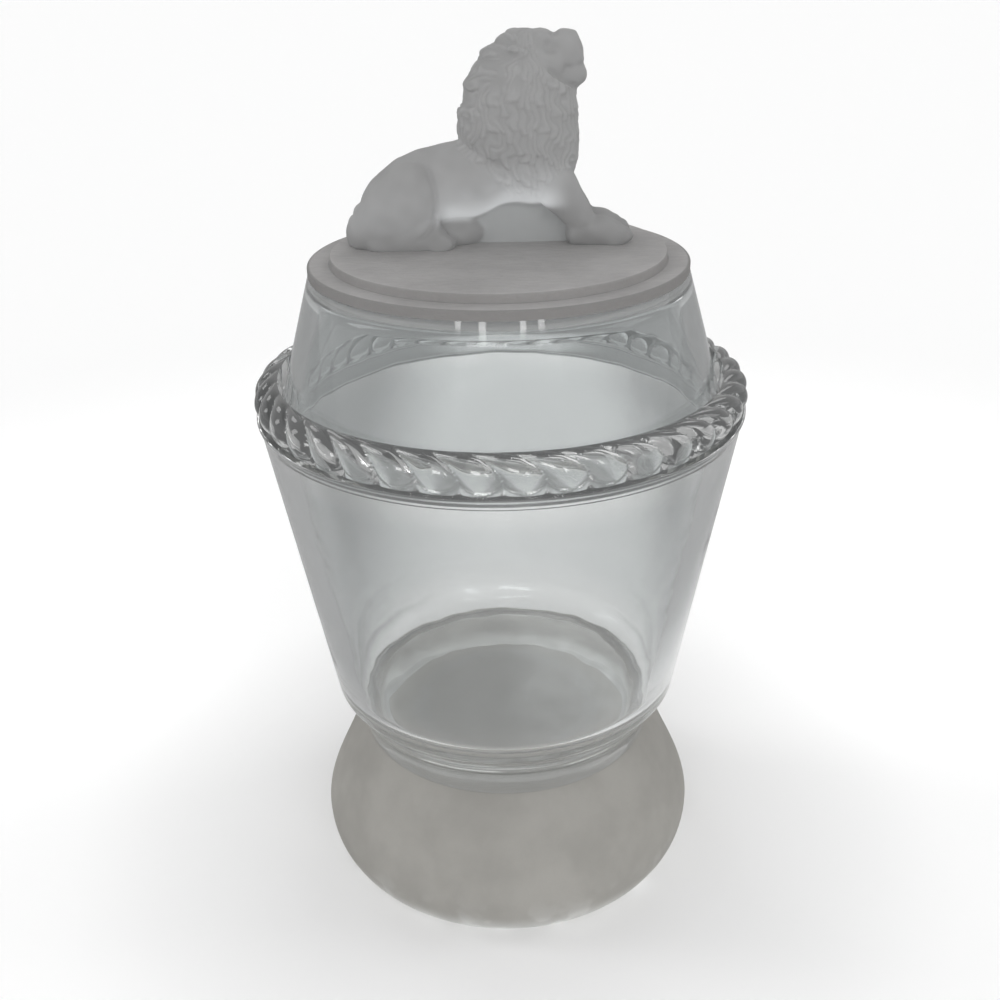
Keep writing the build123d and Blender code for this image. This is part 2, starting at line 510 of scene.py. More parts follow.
def pane(recipe, look, azimuth, elevation, half_width, half_height, soft=0.03):
    """1 in a soft-edged window of the room, 0 elsewhere.

    The direction of view is divided by its share along the window's axis, which gives
    the place on a flat sheet one unit away; both of its parts must be within the window.
    """
    round_way, rise = math.radians(azimuth), math.radians(elevation)
    level = Vector((math.cos(round_way), math.sin(round_way), 0)) * math.cos(rise)
    axis = level + Vector((0, 0, math.sin(rise)))
    across = axis.cross(Vector((0, 0, 1))).normalized()
    over = across.cross(axis)
    ahead = recipe.dot(look, tuple(axis))
    sideways = abs(recipe.dot(look, tuple(across)) / ahead)
    upwards = abs(recipe.dot(look, tuple(over)) / ahead)
    inside = (half_width - sideways).between(-soft, soft)
    inside = inside * (half_height - upwards).between(-soft, soft)
    return inside * ahead.between(0.0, 0.05)


class JAR_OT_stage(bpy.types.Operator):
    """Make the camera, the soft light and the pale floor"""

    bl_idname = "jar.stage"
    bl_label = "Stage"

    def execute(self, context):
        settings = context.scene.stage_settings
        scene = context.scene
        scene.view_settings.view_transform = "Standard"

        pitch, roll = math.radians(settings.pitch), math.radians(settings.roll)
        forward = Vector((0, math.cos(pitch), -math.sin(pitch)))
        level, above = Vector((1, 0, 0)), Vector((0, math.sin(pitch), math.cos(pitch)))
        right = level * math.cos(roll) - above * math.sin(roll)
        up = above * math.cos(roll) + level * math.sin(roll)
        lens = bpy.data.cameras.new("camera")
        lens.lens, lens.sensor_width = settings.focal, 36.0
        camera = bpy.data.objects.new("camera", lens)
        place = Vector((-settings.aside, -settings.distance, settings.height))
        turned = Matrix((right, up, -forward)).transposed().to_4x4()
        camera.matrix_world = Matrix.Translation(place) @ turned
        scene.collection.objects.link(camera)
        scene.camera = camera

        self.make_world(scene)
        self.make_floor()
        return {"FINISHED"}

    def make_world(self, scene):
        """A pale room: a soft ceiling, windows, and dim walls for the glass to show.

        The windows that only mirrored rays see give the glass its bright specks and the
        short streaks under the disc. The camera itself sees a plain pale sky.
        """
        world = bpy.data.worlds.new("room")
        scene.world = world
        world.use_nodes = True
        recipe = Recipe(world.node_tree)
        look = recipe.node("ShaderNodeTexCoord", output=0)
        level = recipe.dot(look, (0, 0, 1))
        behind = recipe.dot(look, (0, 1, 0))
        camera, glossy, through, spread = recipe.rays()
        clear = (glossy | through) * (1 - spread)
        room = 0.62 + 0.24 * behind.between(-0.3, 0.9) - 0.2 * level.between(0.2, 0.9)
        room = room + 0.4 * (0 - behind).between(0.3, 0.95)
        walls = 0.62 - 0.14 * level.between(0.05, 0.5)
        light = room + clear * (walls - room)
        for strength, *window in WINDOWS:
            light = light + strength * pane(recipe, look, *window)
        for strength, *window in BRIGHT_WINDOWS:
            light = light + glossy * strength * pane(recipe, look, *window)
        mirrored = glossy * (1 - through)
        for azimuth in STREAKS:
            light = light + mirrored * STREAK_STRENGTH * pane(recipe, look, azimuth, *STREAK_SHAPE)
        light = light * ROOM_LIGHT
        sky = recipe.node("ShaderNodeBackground", None, Strength=light + camera * (1 - light))
        recipe.node("ShaderNodeOutputWorld", None, sky)

    def make_floor(self):
        """A large pale sheet at the table's height.

        It is white to the camera, with a painted shadow that darkens it near the foot and a
        painted lighter ring round that. In reflections and through glass it is less white
        far off and darker towards the sides.
        """
        material, recipe = new_material("floor")
        camera, glossy, through, spread = recipe.rays()
        x, y, _ = recipe.axes(recipe.point())
        away = recipe.from_axis(recipe.point())
        # Painted light: a ring of floor round the shadow is whiter to the camera.
        ring = away.between(70, 110) * (1 - away.between(200, 400))
        # Painted shadow: the floor is darker to the camera near the foot.
        near = 1 - away.between(45, 80)
        far = ((x - 40) * (x - 40) + (y - 200) * (y - 200) * 0.35) ** 0.5
        inside = (glossy | through) * (1 - spread)
        sides = 0.56 * abs(x - 14).between(35, 100) + 0.11 * far.between(100, 400)
        white = 1 + (0.12 * ring - 0.08 * near) * camera + (0.05 - sides) * inside
        seen = FLOOR_GREY + (camera | inside) * (white - FLOOR_GREY)
        colour = recipe.node("ShaderNodeCombineXYZ", None, seen, seen, seen)
        plain = recipe.node("ShaderNodeBsdfDiffuse", None, Color=colour)
        recipe.node("ShaderNodeOutputMaterial", None, plain)
        half = 40.0
        points = np.array([[-half, -half, 0], [half, -half, 0], [half, half, 0], [-half, half, 0]])
        floor = make_piece("floor", points, [[0, 1, 2, 3]], material)


# The jar: bowl and rope rim, and the foot


class JAR_OT_bowl(bpy.types.Operator):
    """Make the clear bowl with its neck, lip, ledge and rope rim"""

    bl_idname = "jar.bowl"
    bl_label = "Bowl and rope rim"

    def execute(self, context):
        settings = context.scene.jar_settings
        neck_height = BOWL_LOW[2] / MM
        lip_top = BOWL_HIGH[2] / MM
        neck, corner, corner_height = 32.4, 38.2, 43.5
        top, top_height = 49.1, lip_top - 0.9
        floor_height, wall = 41.0, 4.9
        ledge_depth, gallery_wall = 2.4, 4.5
        ledge, gallery = top_height - ledge_depth, top - gallery_wall
        slope = (top - corner) / (top_height - corner_height)

        def inner_wall(height):
            return corner + slope * (height - corner_height) - wall

        rope_inset, rope_rise, rope_radius, rope_foot = 3.2, 3.2, 3.78, -46.0
        rope_centre = np.array([top - rope_inset, lip_top + rope_rise])
        rope_end = math.degrees(math.acos((gallery - rope_centre[0]) / rope_radius))
        low_rope = arc(rope_centre, rope_radius, rope_foot, rope_foot + 1, 1)[0]
        foot_of_rope = (top - 0.9, lip_top + 0.02)
        section = np.vstack(
            [
                line(foot_of_rope, low_rope, 5),
                arc(rope_centre, rope_radius, rope_foot, rope_end, 38),
            ]
        )
        foot_of_wall = inner_wall(floor_height)
        fillet = 5.5
        bend = (inner_wall(floor_height + fillet), floor_height + fillet)
        flat = (foot_of_wall - fillet, floor_height)
        outside = np.vstack(
            [
                [[0, neck_height]],
                line((1, neck_height), (neck - 0.1, neck_height), 3),
                curve((neck, neck_height), (neck, 36.5), (34.6, 39.4), (37.4, 42.2), 12),
                curve((37.4, 42.2), (38.0, 42.8), (38.2, 43.1), (corner + 0.1, 44.1), 5),
                straight((corner + 0.1, 44.1), (top, top_height), 6),
                curve((top, top_height), (top + 0.5, top_height + 0.1), (top + 0.5, lip_top - 0.3),
                      (top + 0.4, lip_top), 5),
                line((top + 0.4, lip_top), (top - 0.1, lip_top), 3),
            ]
        )
        inside = np.vstack(
            [
                line((gallery, 113.3), (gallery, ledge + 0.2), 4),
                line((gallery - 0.1, ledge), (inner_wall(ledge), ledge), 2),
                straight((inner_wall(ledge) - 0.1, ledge - 0.1), bend, 6),
                curve(bend, (foot_of_wall + 0.3, floor_height + 0.4 * fillet),
                      (foot_of_wall - 0.45 * fillet, floor_height), flat, 12),
                line(flat, (0.5, floor_height), 4),
                [[0, floor_height]],
            ]
        )
        first_row = len(outside) - 1
        along = np.gradient(section, axis=0)
        outward = np.stack([along[:, 1], -along[:, 0]], axis=-1)
        outward /= np.hypot(outward[:, 0], outward[:, 1])[:, None]
        way = np.cumsum(np.hypot(along[:, 0], along[:, 1]))
        rise = ((way - way[0]) / (way[-1] - way[0]))[:, None]

        def mould(radius, height, turns):
            """Strands of the rope.

            Each is a round ridge, plump at its foot, whose line stays upright at first and
            leans ever more as it goes up and in.
            """
            lean = np.radians(settings.lay) * rise**3.2
            phase = (turns + lean) * settings.strands / (2 * np.pi)
            across = 2 * (phase % 1.0) - 1
            dip = 1 - np.sqrt(1 - (0.985 * across) ** 2)
            depth = settings.groove * np.clip(1 - rise**2, 0, 1)
            depth = depth * np.clip(0.2 + rise * 12, 0, 1)
            rope = slice(first_row, first_row + len(section))
            radius, height = radius.copy(), height.copy()
            radius[rope] -= dip * depth * outward[:, 0:1]
            height[rope] -= dip * depth * outward[:, 1:2]
            return radius, height

        profile = np.vstack([outside, section, inside])
        bowl = turn("bowl_glass", profile, clear_glass("clear_bowl", settings.tint, settings.clean),
                    settings.strands * 20, mould)
        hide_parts("bowl", "rope_rim")
        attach(bowl, "jar")
        return {"FINISHED"}


def foot_shine(recipe, point):
    """Light off the table comes out at the foot's lower edge, unevenly."""
    height = recipe.axes(point)[2]
    uneven = recipe.noise(point, 130.0, 2.0)
    edge = (1 - height.between(0.0, 6.0)) * (0.35 + 0.55 * uneven)
    blotch = uneven.between(0.5, 0.62) * (1 - height.between(3.0, 12.0))
    return edge + blotch * 0.2


class JAR_OT_foot(bpy.types.Operator):
    """Make the hollow frosted foot"""

    bl_idname = "jar.foot"
    bl_label = "Foot"

    def execute(self, context):
        settings = context.scene.cover_settings
        top = FOOT_HIGH[2] / MM + 0.05
        hollow = np.vstack(
            [
                [[0, 25.0]],
                line((0.5, 25.0), (18.5, 25.0), 5),
                curve((18.5, 25), (21.6, 25.0), (25.2, 20.9), (27.5, 18.0), 16),
                curve((27.5, 18.0), (31.0, 13.6), (33.4, 5.6), (34.0, 0.0), 14),
            ]
        )
        skirt = np.vstack(
            [
                line((34.0, 0.0), (39.3, 0.0), 3),
                curve((39.6, 0.1), (41.4, 2.2), (42.5, 5.0), (42.5, 8.8), 14),
                curve((42.5, 8.8), (42.5, 12.4), (39.6, 17.6), (37.3, 22.9), 22),
                curve((37.3, 22.9), (35.9, 26.1), (33.6, 29.6), (32.35, top), 14),
            ]
        )
        inside = np.vstack([line((32.3, top), (1.0, top), 6), [[0, top]]])
        profile = np.vstack([hollow, skirt, inside])
        clear = clear_glass("clear_foot", context.scene.jar_settings.clean, thick=False)
        # The foot is painted a little paler to lift its shade.
        skin = frosted_glass("frosted_foot", settings, pale=(1.07, 1.05, 1.0), shine=foot_shine)
        first, last = len(hollow) - 1, len(hollow) + len(skirt) - 1
        skins = ((ground_hollow("frosted_hollow"), 0, first), (skin, first, last))
        foot = turn("foot_glass", profile, clear, 288, skins=skins)
        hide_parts("foot")
        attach(foot, "jar")
        return {"FINISHED"}


# The cover: shell, disc and lion


class JAR_OT_cover(bpy.types.Operator):
    """Make the clear cover shell"""

    bl_idname = "jar.cover"
    bl_label = "Cover shell"

    def execute(self, context):
        settings = context.scene.cover_settings
        bottom, top = SHELL_LOW[2] / MM, SHELL_HIGH[2] / MM + 0.05
        seat, band_top, disc = 44.2, bottom + 5.5, 37.1
        wall, roof = 3.5, top - 2.65
        inner = seat - wall
        profile = np.vstack(
            [
                [[0, roof]],
                line((0.5, roof), (disc - wall - 2.8, roof), 3),
                curve((disc - wall - 2.8, roof), (disc - wall - 0.8, roof),
                      (disc - wall - 0.1, roof - 0.6), (disc - wall + 0.7, roof - 2.6), 8),
                straight((disc - wall + 0.7, roof - 2.6), (inner - 0.3, band_top + 1.0), 6),
                curve((inner - 0.3, band_top + 1.0), (inner - 0.05, band_top + 0.4),
                      (inner, band_top), (inner, band_top - 0.5), 4),
                line((inner, band_top - 0.5), (inner, bottom + 0.6), 3),
                arc((inner + 0.6, bottom + 0.6), 0.6, 180, 270, 4),
                arc((seat - 0.6, bottom + 0.6), 0.6, 270, 360, 4),
                line((seat, bottom + 0.6), (seat, band_top - 0.5), 3),
                curve((seat, band_top - 0.5), (seat, band_top), (seat - 0.1, band_top + 0.3),
                      (seat - 0.27, band_top + 1.0), 4),
                straight((seat - 0.27, band_top + 1.0), (disc - 0.02, top - 0.1), 6),
                [[disc - 0.05, top]],
                line((disc - 0.3, top), (0.5, top), 4),
                [[0, top]],
            ]
        )
        shell = turn("cover_glass", profile, clear_glass("clear_cover", settings.tint), 360)
        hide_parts("cover_shell")
        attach(shell, "cover")
        return {"FINISHED"}


def disc_edge_shade(recipe, point):
    """The upright edges of disc and plateau, painted darker as shade."""
    out = recipe.from_axis(point)
    plateau = out.between(32.45, 32.62) * (1 - out.between(32.8, 33.1)) * 0.7
    return out.between(36.4, 36.9) + plateau


class JAR_OT_disc(bpy.types.Operator):
    """Make the frosted disc and its plateau"""

    bl_idname = "jar.disc"
    bl_label = "Disc"

    def execute(self, context):
        settings = context.scene.cover_settings
        bottom, top = DISC_LOW[2] / MM, DISC_HIGH[2] / MM
        disc, plateau, plateau_rise = 37.1, 32.7, 1.7
        flange = top - plateau_rise
        underside = np.vstack([[[0, bottom]], line((0.5, bottom), (disc, bottom), 5)])
        skirt = np.vstack(
            [
                line((disc, bottom), (disc, flange - 0.35), 3),
                arc((disc - 0.35, flange - 0.35), 0.35, 0, 90, 4),
                line((disc - 0.4, flange), (plateau + 0.3, flange), 4),
                curve((plateau + 0.3, flange), (plateau, flange), (plateau, flange + 0.1),
                      (plateau, flange + 0.4), 4),
                line((plateau, flange + 0.4), (plateau, top - 0.35), 3),
                arc((plateau - 0.35, top - 0.35), 0.35, 0, 90, 4),
                line((plateau - 0.4, top), (0.5, top), 12),
                [[0, top]],
            ]
        )
        clear = clear_glass("clear_disc", settings.tint, thick=False)
        # The disc is painted paler to lift its shade, and its upright edges darker as painted shade.
        skin = frosted_glass("frosted_disc", settings, pale=(1.33, 1.30, 1.29), scratched=True,
                             patch=disc_edge_shade, patch_colour=(0.45, 0.44, 0.435))
        skins = ((skin, len(underside) - 1, len(underside) + len(skirt)),)
        disc_piece = turn("cover_disc", np.vstack([underside, skirt]), clear, 360, skins=skins)
        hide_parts("cover_top")
        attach(disc_piece, "cover")
        return {"FINISHED"}


# Points of the lion are in mm from the plateau's top: along to its nose, to its left, and up


def cubic(values, spots):
    """Smooth values between the rows of a table: a cubic through four neighbouring rows."""
    values = np.asarray(values, dtype=float)
    padded = np.vstack([2 * values[0] - values[1], values, 2 * values[-1] - values[-2]])
    base = np.clip(np.floor(spots).astype(int), 0, len(values) - 2)
    t = (spots - base)[:, None]
    a, b, c, d = (padded[base + step] for step in range(4))
    bend = 2 * a - 5 * b + 4 * c - d
    twist = 3 * (b - c) + d - a
    return 0.5 * (2 * b + t * (c - a) + t**2 * bend + t**3 * twist)


def swell(stations, side=0.0, rows=26):
    """Skin of a limb: ellipses carried along a smooth path, with rounded ends.

    A station is its place along and up, the tilt of its plane, and the half height and
    half width of its ellipse. At each end the ellipse shrinks as the cosine of an angle
    and moves out as its sine.
    """
    columns = 36
    table = cubic(stations, np.linspace(0, len(stations) - 1, rows))
    angles = np.radians([78, 60, 40, 20])
    first, last = np.repeat(table[:1], 4, axis=0), np.repeat(table[-1:], 4, axis=0)
    table = np.vstack([first, table, last])
    shrink = np.concatenate([np.cos(angles), np.ones(rows), np.cos(angles[::-1])])
    reach = 0.7 * np.minimum(table[:, 3], table[:, 4])
    push = reach * np.concatenate([-np.sin(angles), np.zeros(rows), np.sin(angles[::-1])])
    tilt = np.radians(table[:, 2])[:, None]
    turns = np.linspace(0, 2 * np.pi, columns, endpoint=False)[None, :]
    tall = (table[:, 3] * shrink)[:, None] * np.sin(turns)
    wide = (table[:, 4] * shrink)[:, None] * np.cos(turns)
    along = table[:, 0:1] - np.sin(tilt) * tall + np.cos(tilt) * push[:, None]
    up = table[:, 1:2] + np.cos(tilt) * tall + np.sin(tilt) * push[:, None]
    grid = np.stack([along, side + wide, up], axis=-1)
    poles = [grid[0].mean(axis=0), grid[-1].mean(axis=0)]
    size = grid.shape[0] * columns
    points = np.vstack([grid.reshape(-1, 3), poles])
    return points, turned_faces(grid.shape[0], columns, size, size + 1)


def egg(along, side, up, half_length, half_width, half_height, tilt=0.0):
    """An ellipsoid turned by its tilt; its rings shrink as the sine of an angle."""
    rows, columns = 14, 24
    angles = np.linspace(0, np.pi, rows + 2)[1:-1, None]
    turns = np.linspace(0, 2 * np.pi, columns, endpoint=False)[None, :]
    ahead = -half_length * np.cos(angles) * np.ones_like(turns)
    wide = half_width * np.sin(angles) * np.cos(turns)
    tall = half_height * np.sin(angles) * np.sin(turns)
    lean = math.radians(tilt)
    ends = np.array([-half_length, half_length])
    ahead = np.concatenate([ahead.ravel(), ends])
    wide = np.concatenate([wide.ravel(), [0, 0]])
    tall = np.concatenate([tall.ravel(), [0, 0]])
    points = np.stack(
        [
            along + ahead * math.cos(lean) - tall * math.sin(lean),
            side + wide,
            up + ahead * math.sin(lean) + tall * math.cos(lean),
        ],
        axis=-1,
    )
    return points, turned_faces(rows, columns, rows * columns, rows * columns + 1)


def slab(outline, half_width):
    """A flat plate with the outline in the lion's middle plane."""
    outline = np.asarray(outline, dtype=float)
    count = len(outline)
    near = np.stack([outline[:, 0], np.full(count, -half_width), outline[:, 1]], axis=-1)
    far = near * (1, -1, 1)
    ring = np.arange(count)
    beside = np.roll(ring, -1)
    faces = np.stack([ring, beside, beside + count, ring + count], axis=-1).tolist()
    faces += [ring[::-1].tolist(), (ring + count).tolist()]
    return np.vstack([near, far]), faces


def lion_forms():
    """Every form of the lion, as skins that run into each other."""
    forms = [
        # Rump, trunk and chest
        swell([(-27.6, 2.0, 0, 3.6, 5.0), (-26.0, 4.2, 0, 6.1, 6.6), (-22.8, 5.8, 0, 7.8, 7.2),
               (-19.6, 7.0, 0, 8.8, 7.3), (-15, 9.3, 0, 8.6, 7.2), (-10, 11.6, 0, 7.3, 6.9),
               (-4, 12.4, 0, 7.7, 6.6), (1, 13.6, 0, 6.5, 6.4), (6, 13.4, 0, 6.2, 6.0),
               (10.5, 12.7, 0, 4.9, 5.1)], rows=40),
        # Mane, from the chest up to the crown
        swell([(6.5, 9.5, 90, 4.4, 4.0), (6.2, 12.5, 90, 8.3, 6.6), (5.0, 17, 90, 10.7, 8.0),
               (4.1, 22, 90, 11.5, 8.5), (4.5, 26.5, 90, 10.8, 8.3), (4.5, 30.5, 90, 9.9, 7.6),
               (3.8, 33.2, 90, 7.4, 6.6), (4.2, 35.2, 90, 6.6, 5.4), (5.2, 36.3, 90, 5.4, 4.2)],
              rows=44),
        # Three lobes of hair that make the nape's wavy outline
        egg(-1.9, 0, 24.4, 5.6, 6.6, 2.6),
        egg(-0.6, 0, 29.4, 5.6, 6.2, 2.5),
        egg(1.6, 0, 34.9, 5.0, 5.2, 2.4, tilt=14),
        # Skull, bridge of the nose, muzzle, jaw and chin
        egg(7.4, 0, 34.4, 5.0, 4.8, 4.3),
        egg(8.3, 0, 37.3, 2.9, 2.7, 2.0, tilt=4),
        swell([(9.5, 37.0, 0, 1.9, 2.3), (12.8, 37.5, 0, 1.6, 1.9), (14.6, 37.4, 0, 1.5, 1.7)]),
        swell([(8.5, 34.8, 0, 3.8, 4.2), (11.5, 35.0, 0, 3.8, 3.6), (14.5, 35.0, 0, 3.4, 2.9)]),
        swell([(8.5, 31.8, -10, 3.0, 3.8), (12.0, 31.0, -12, 2.9, 3.1), (14.9, 30.5, -12, 2.4, 2.4)]),
        egg(15.7, 0, 30.9, 1.6, 2.1, 1.9),
        egg(14.5, 0, 33.0, 2.2, 2.5, 2.7),
        # Web of glass between belly, paws and plateau
        slab([(-14, -1), (15, -1), (15, 5), (10, 11), (4, 12), (-5, 8), (-14, 6)], 1.7),
    ]
    for hand in (-1, 1):
        near = 3.0 if hand < 0 else 0.0
        forms += [
            # Thigh, hock and hind paw
            swell([(-27.6, 3.4, 0, 3.4, 2.4), (-24.5, 5.4, 0, 6.2, 3.6), (-20, 7.2, 0, 8.0, 4.4),
                   (-16.2, 8.4, 0, 7.6, 4.0), (-13.7, 9.4, 0, 6.2, 2.8)], side=4.8 * hand),
            swell([(-24, 1.4, 0, 2.6, 2.2), (-17, 2.2, 0, 3.4, 2.6),
                   (-11.6, 2.6, 0, 3.2, 2.5), (-8.4 - near, 1.8, 0, 2.8, 2.3)], side=6.0 * hand),
            # Elbow, foreleg and front paw
            swell([(8.3, 14.4, -56, 5.0, 2.8), (11.4, 10.8, -54, 4.2, 2.7), (14.4, 7.0, -50, 3.2, 2.5),
                   (16.4, 4.6, -46, 2.8, 2.4)], side=3.9 * hand),
            swell([(15.0, 2.0, 0, 2.6, 2.5), (18.2, 2.4, 0, 3.2, 2.8), (21.5, 2.1, 0, 3.0, 2.8),
                   (23.4, 1.7, 0, 2.4, 2.6)], side=3.6 * hand),
            # Cheek, lip, brow, eye and ear
            egg(9.4, 3.0 * hand, 32.8, 3.4, 2.0, 3.4),
            egg(14.4, 1.3 * hand, 34.3, 2.0, 1.6, 2.2),
            egg(8.7, 2.0 * hand, 37.6, 2.1, 1.7, 1.5, tilt=-8),
            egg(10.0, 3.0 * hand, 36.3, 1.0, 0.7, 0.75),
            egg(4.4, 5.3 * hand, 35.4, 2.1, 1.1, 1.3, tilt=-26),
        ]
        for toe in (-1.5, -0.5, 0.5, 1.5):
            back = 0.3 * toe**2
            forms.append(egg(23.7 - back, 3.6 * hand + 1.25 * toe, 1.5, 2.9, 0.9, 2.0))
            forms.append(egg(-7.6 - near - back, 6.0 * hand + 1.2 * toe, 1.1, 2.6, 0.85, 1.8))
    # Far hind paw's ridge, seen behind the near one
    forms.append(egg(-8.0, 0.0, 2.2, 6.0, 5.0, 3.4))
    return forms


def relax(points, edges, rounds):
    """Draws each point halfway to the mean of its neighbours, so many times."""
    pairs = np.vstack([edges, edges[:, ::-1]])
    count = np.bincount(pairs[:, 0], minlength=len(points))
    for _ in range(rounds):
        sums = [
            np.bincount(pairs[:, 0], weights=points[pairs[:, 1], axis], minlength=len(points))
            for axis in range(3)
        ]
        points = 0.5 * points + 0.5 * np.stack(sums, axis=-1) / count[:, None]
    return points


def step(values, low, high):
    """0 below low, 1 above high and a smooth step between them."""
    share = np.clip((values - low) / (high - low), 0, 1)
    return share * share * (3 - 2 * share)


def waves(rng, along, across, size):
    """A smooth random field of about unit height: sines of many directions added up."""
    count = 9
    total = np.zeros_like(along)
    for _ in range(count):
        angle, phase = rng.uniform(0, 2 * np.pi, 2)
        pitch = 2 * np.pi / (size * rng.uniform(0.7, 1.5))
        total += np.sin(pitch * (np.cos(angle) * along + np.sin(angle) * across) + phase)
    return total / math.sqrt(count / 2)


def mane_relief(points, rng):
    """Height of the mane's locks over its smooth form, and where the mane is.

    Round the mane's upright axis an angle counts the locks, and a random field bends
    them into long waves. Each lock is a round ridge with finer hairs on it, thickens
    downwards and ends where the next row of locks begins. On the crown and the nape
    the locks are short, tight curls: a sine whose lines a random field bends.
    """
    along, side, up = points.T
    middle = 4.6 + 1.6 * step(up, 18, 8) + 1.0 * step(up, 34, 40)
    heights = [8, 12.5, 17, 22, 27, 31.5, 35, 38]
    half_length = np.interp(up, heights, [4.4, 8.4, 10.8, 11.5, 10.8, 9.4, 7.2, 5.2])
    half_width = np.interp(up, heights, [4.4, 6.6, 8.0, 8.5, 8.3, 7.6, 6.0, 4.2])
    out = np.hypot((along - middle) / half_length, side / half_width)
    face_edge = np.interp(up, [26, 28, 29.5, 31.8, 34, 37, 40], [17.5, 15.6, 13.4, 9.6, 8.2, 7.0, 6.4])
    place = np.maximum(step(out, 0.80, 0.93), step(up, 35.5, 37.0))
    place *= (1 - step(out, 1.12, 1.22)) * step(up, 8.5, 10.5)
    place *= np.where(up > 25, 1 - step(along, face_edge - 0.4, face_edge + 0.5), 1.0)

    angle = np.arctan2(side / half_width, (along - middle) / half_length)
    round_way = angle * 9.0
    bend = waves(rng, round_way, up, 9.0) * 0.4 + waves(rng, round_way, up, 3.4) * 0.24
    locks = 23 * angle / np.pi + bend
    lock = np.floor(locks)
    across = 2 * (locks - lock) - 1
    drop = rng.uniform(0, 1, 64)[lock.astype(int) % 64]
    row = (up / 4.8 + drop) % 1.0
    ridge = np.sqrt(np.clip(1 - across**2, 0, 1))
    tip = 0.45 + 0.55 * (1 - row)
    hairs = np.abs(((locks * 3) % 1.0) * 2 - 1)
    relief = 0.66 * ridge * tip + 0.14 * hairs - 0.36

    nape = step(up, 27, 31) * step(-along, -6.5, -3.5) + step(-along, 3.0, 5.0) * step(up, 22, 25)
    nape = np.clip(nape, 0, 1)
    warp = 1.1 * waves(rng, side + along, up, 3.6)
    curl = np.sin(2 * np.pi * (0.8 * up - 0.5 * along + warp) / 1.5)
    tuft = waves(rng, side + along, up, 3.0)
    snails = 0.22 * curl * step(tuft, -0.9, 0.3) + 0.12 * tuft - 0.1
    relief = relief * (1 - nape) + snails * nape
    return relief * place, place


def body_relief(points, rng):
    """Small forms of the body: the thigh's crease, toes' gaps, mouth, eyes and ears."""
    along, side, up = points.T
    far_out = np.abs(side)
    relief = 0.06 * waves(rng, along, up, 5.0)
    # The crease in front of the thigh and under it is a dip along an arc
    tall = np.where(up > 8.5, 12.0, 8.0)
    crease = (np.hypot((along + 20.5) / 8.8, (up - 8.5) / tall) - 1) * 8.8
    crease = np.exp(-(crease / 0.5) ** 2) * step(far_out, 3.5, 5.0) * step(up, 1.5, 3.0)
    relief -= 0.5 * crease * step(along, -21, -18) * (1 - step(up, 13, 17))
    # The dip between the brow and the bridge of the nose
    relief -= 0.6 * np.exp(-((along - 11.0) / 0.8) ** 2) * step(up, 37.6, 38.6)
    # The mouth runs back from the lips, and the jaw's edge down to the chin
    mouth = up - (33.0 + 0.16 * (along - 16.2))
    relief -= 0.2 * np.exp(-(mouth / 0.3) ** 2) * step(along, 12.4, 13.6) * step(up, 30, 31)
    jaw = up - (31.9 - 0.64 * (along - 10.3))
    jaw = np.exp(-(jaw / 0.6) ** 2) * step(along, 9.2, 10.4) * (1 - step(along, 14.6, 15.6))
    relief -= 0.6 * jaw * step(far_out, 1.2, 2.2)
    # The ear's cup
    cup = np.hypot(along - 4.6, (up - 35.3) * 1.5)
    relief -= 0.6 * np.exp(-(cup / 1.0) ** 2) * step(far_out, 5.3, 5.9)
    # The eye in its socket
    eye = np.hypot(along - 10.0, (up - 36.2) * 1.3)
    socket = 0.7 * np.exp(-((eye / 1.3) ** 2)) - 0.5 * np.exp(-((eye / 0.55) ** 2))
    relief -= socket * step(far_out, 1.4, 2.2)
    # Nostrils
    nostril = np.sqrt((along - 16.8) ** 2 + (far_out - 0.8) ** 2 + (up - 37.0) ** 2)
    relief -= 0.4 * np.exp(-(nostril / 0.45) ** 2)
    return relief


def lion_place(recipe, point):
    """Place on the lion in mm: along to its nose, out from its middle plane, and up."""
    middle = (LION_LOW[1] + LION_HIGH[1]) / 2
    along, side, up = recipe.axes(point)
    return along, abs(side - middle / MM), up - LION_LOW[2] / MM


def lion_web(recipe, point):
    """The web of glass under the belly, whose skin is painted paler: painted light that
    lifts the shade which body and paws cast on it.
    """
    along, out, up = lion_place(recipe, point)
    web = (1 - out.between(2.0, 2.8)) * (1 - up.between(7.5, 9.0))
    return web * along.between(-5.0, -3.0) * (1 - along.between(13.5, 15.0))


def lion_groove_shade(recipe, point):
    """Painted shade: the carving's grooves are darker, and its ridges are paler."""
    settings = {"attribute_name": "relief"}
    relief = Shade(recipe, recipe.node("ShaderNodeAttribute", settings, output=2))
    return relief.between(-0.35, 0.35)


def lion_shine(recipe, point):
    """Light gathered by the disc comes out low on belly and chest, and a little on the thigh."""
    along, out, up = lion_place(recipe, point)
    edge = 5.6 + 2.6 * along.between(-4.0, 3.0)
    height = up - edge
    near = (1 - height.between(0.2, 4.0)) * along.between(-14.5, -8.0)
    belly = height.between(-1.6, 0.2) * (near + 1 - height.between(0.5, 10.0))
    belly = belly * out.between(1.5, 3.5) * along.between(-15.0, -9.0)
    belly = belly * (1 - along.between(9.0, 14.5))
    thigh = up.between(2.0, 5.0) * (1 - up.between(7.0, 15.5)) * (1 - along.between(-15.0, -12.0))
    return belly * 0.42 + thigh * 0.12 + lion_web(recipe, point) * 0.07


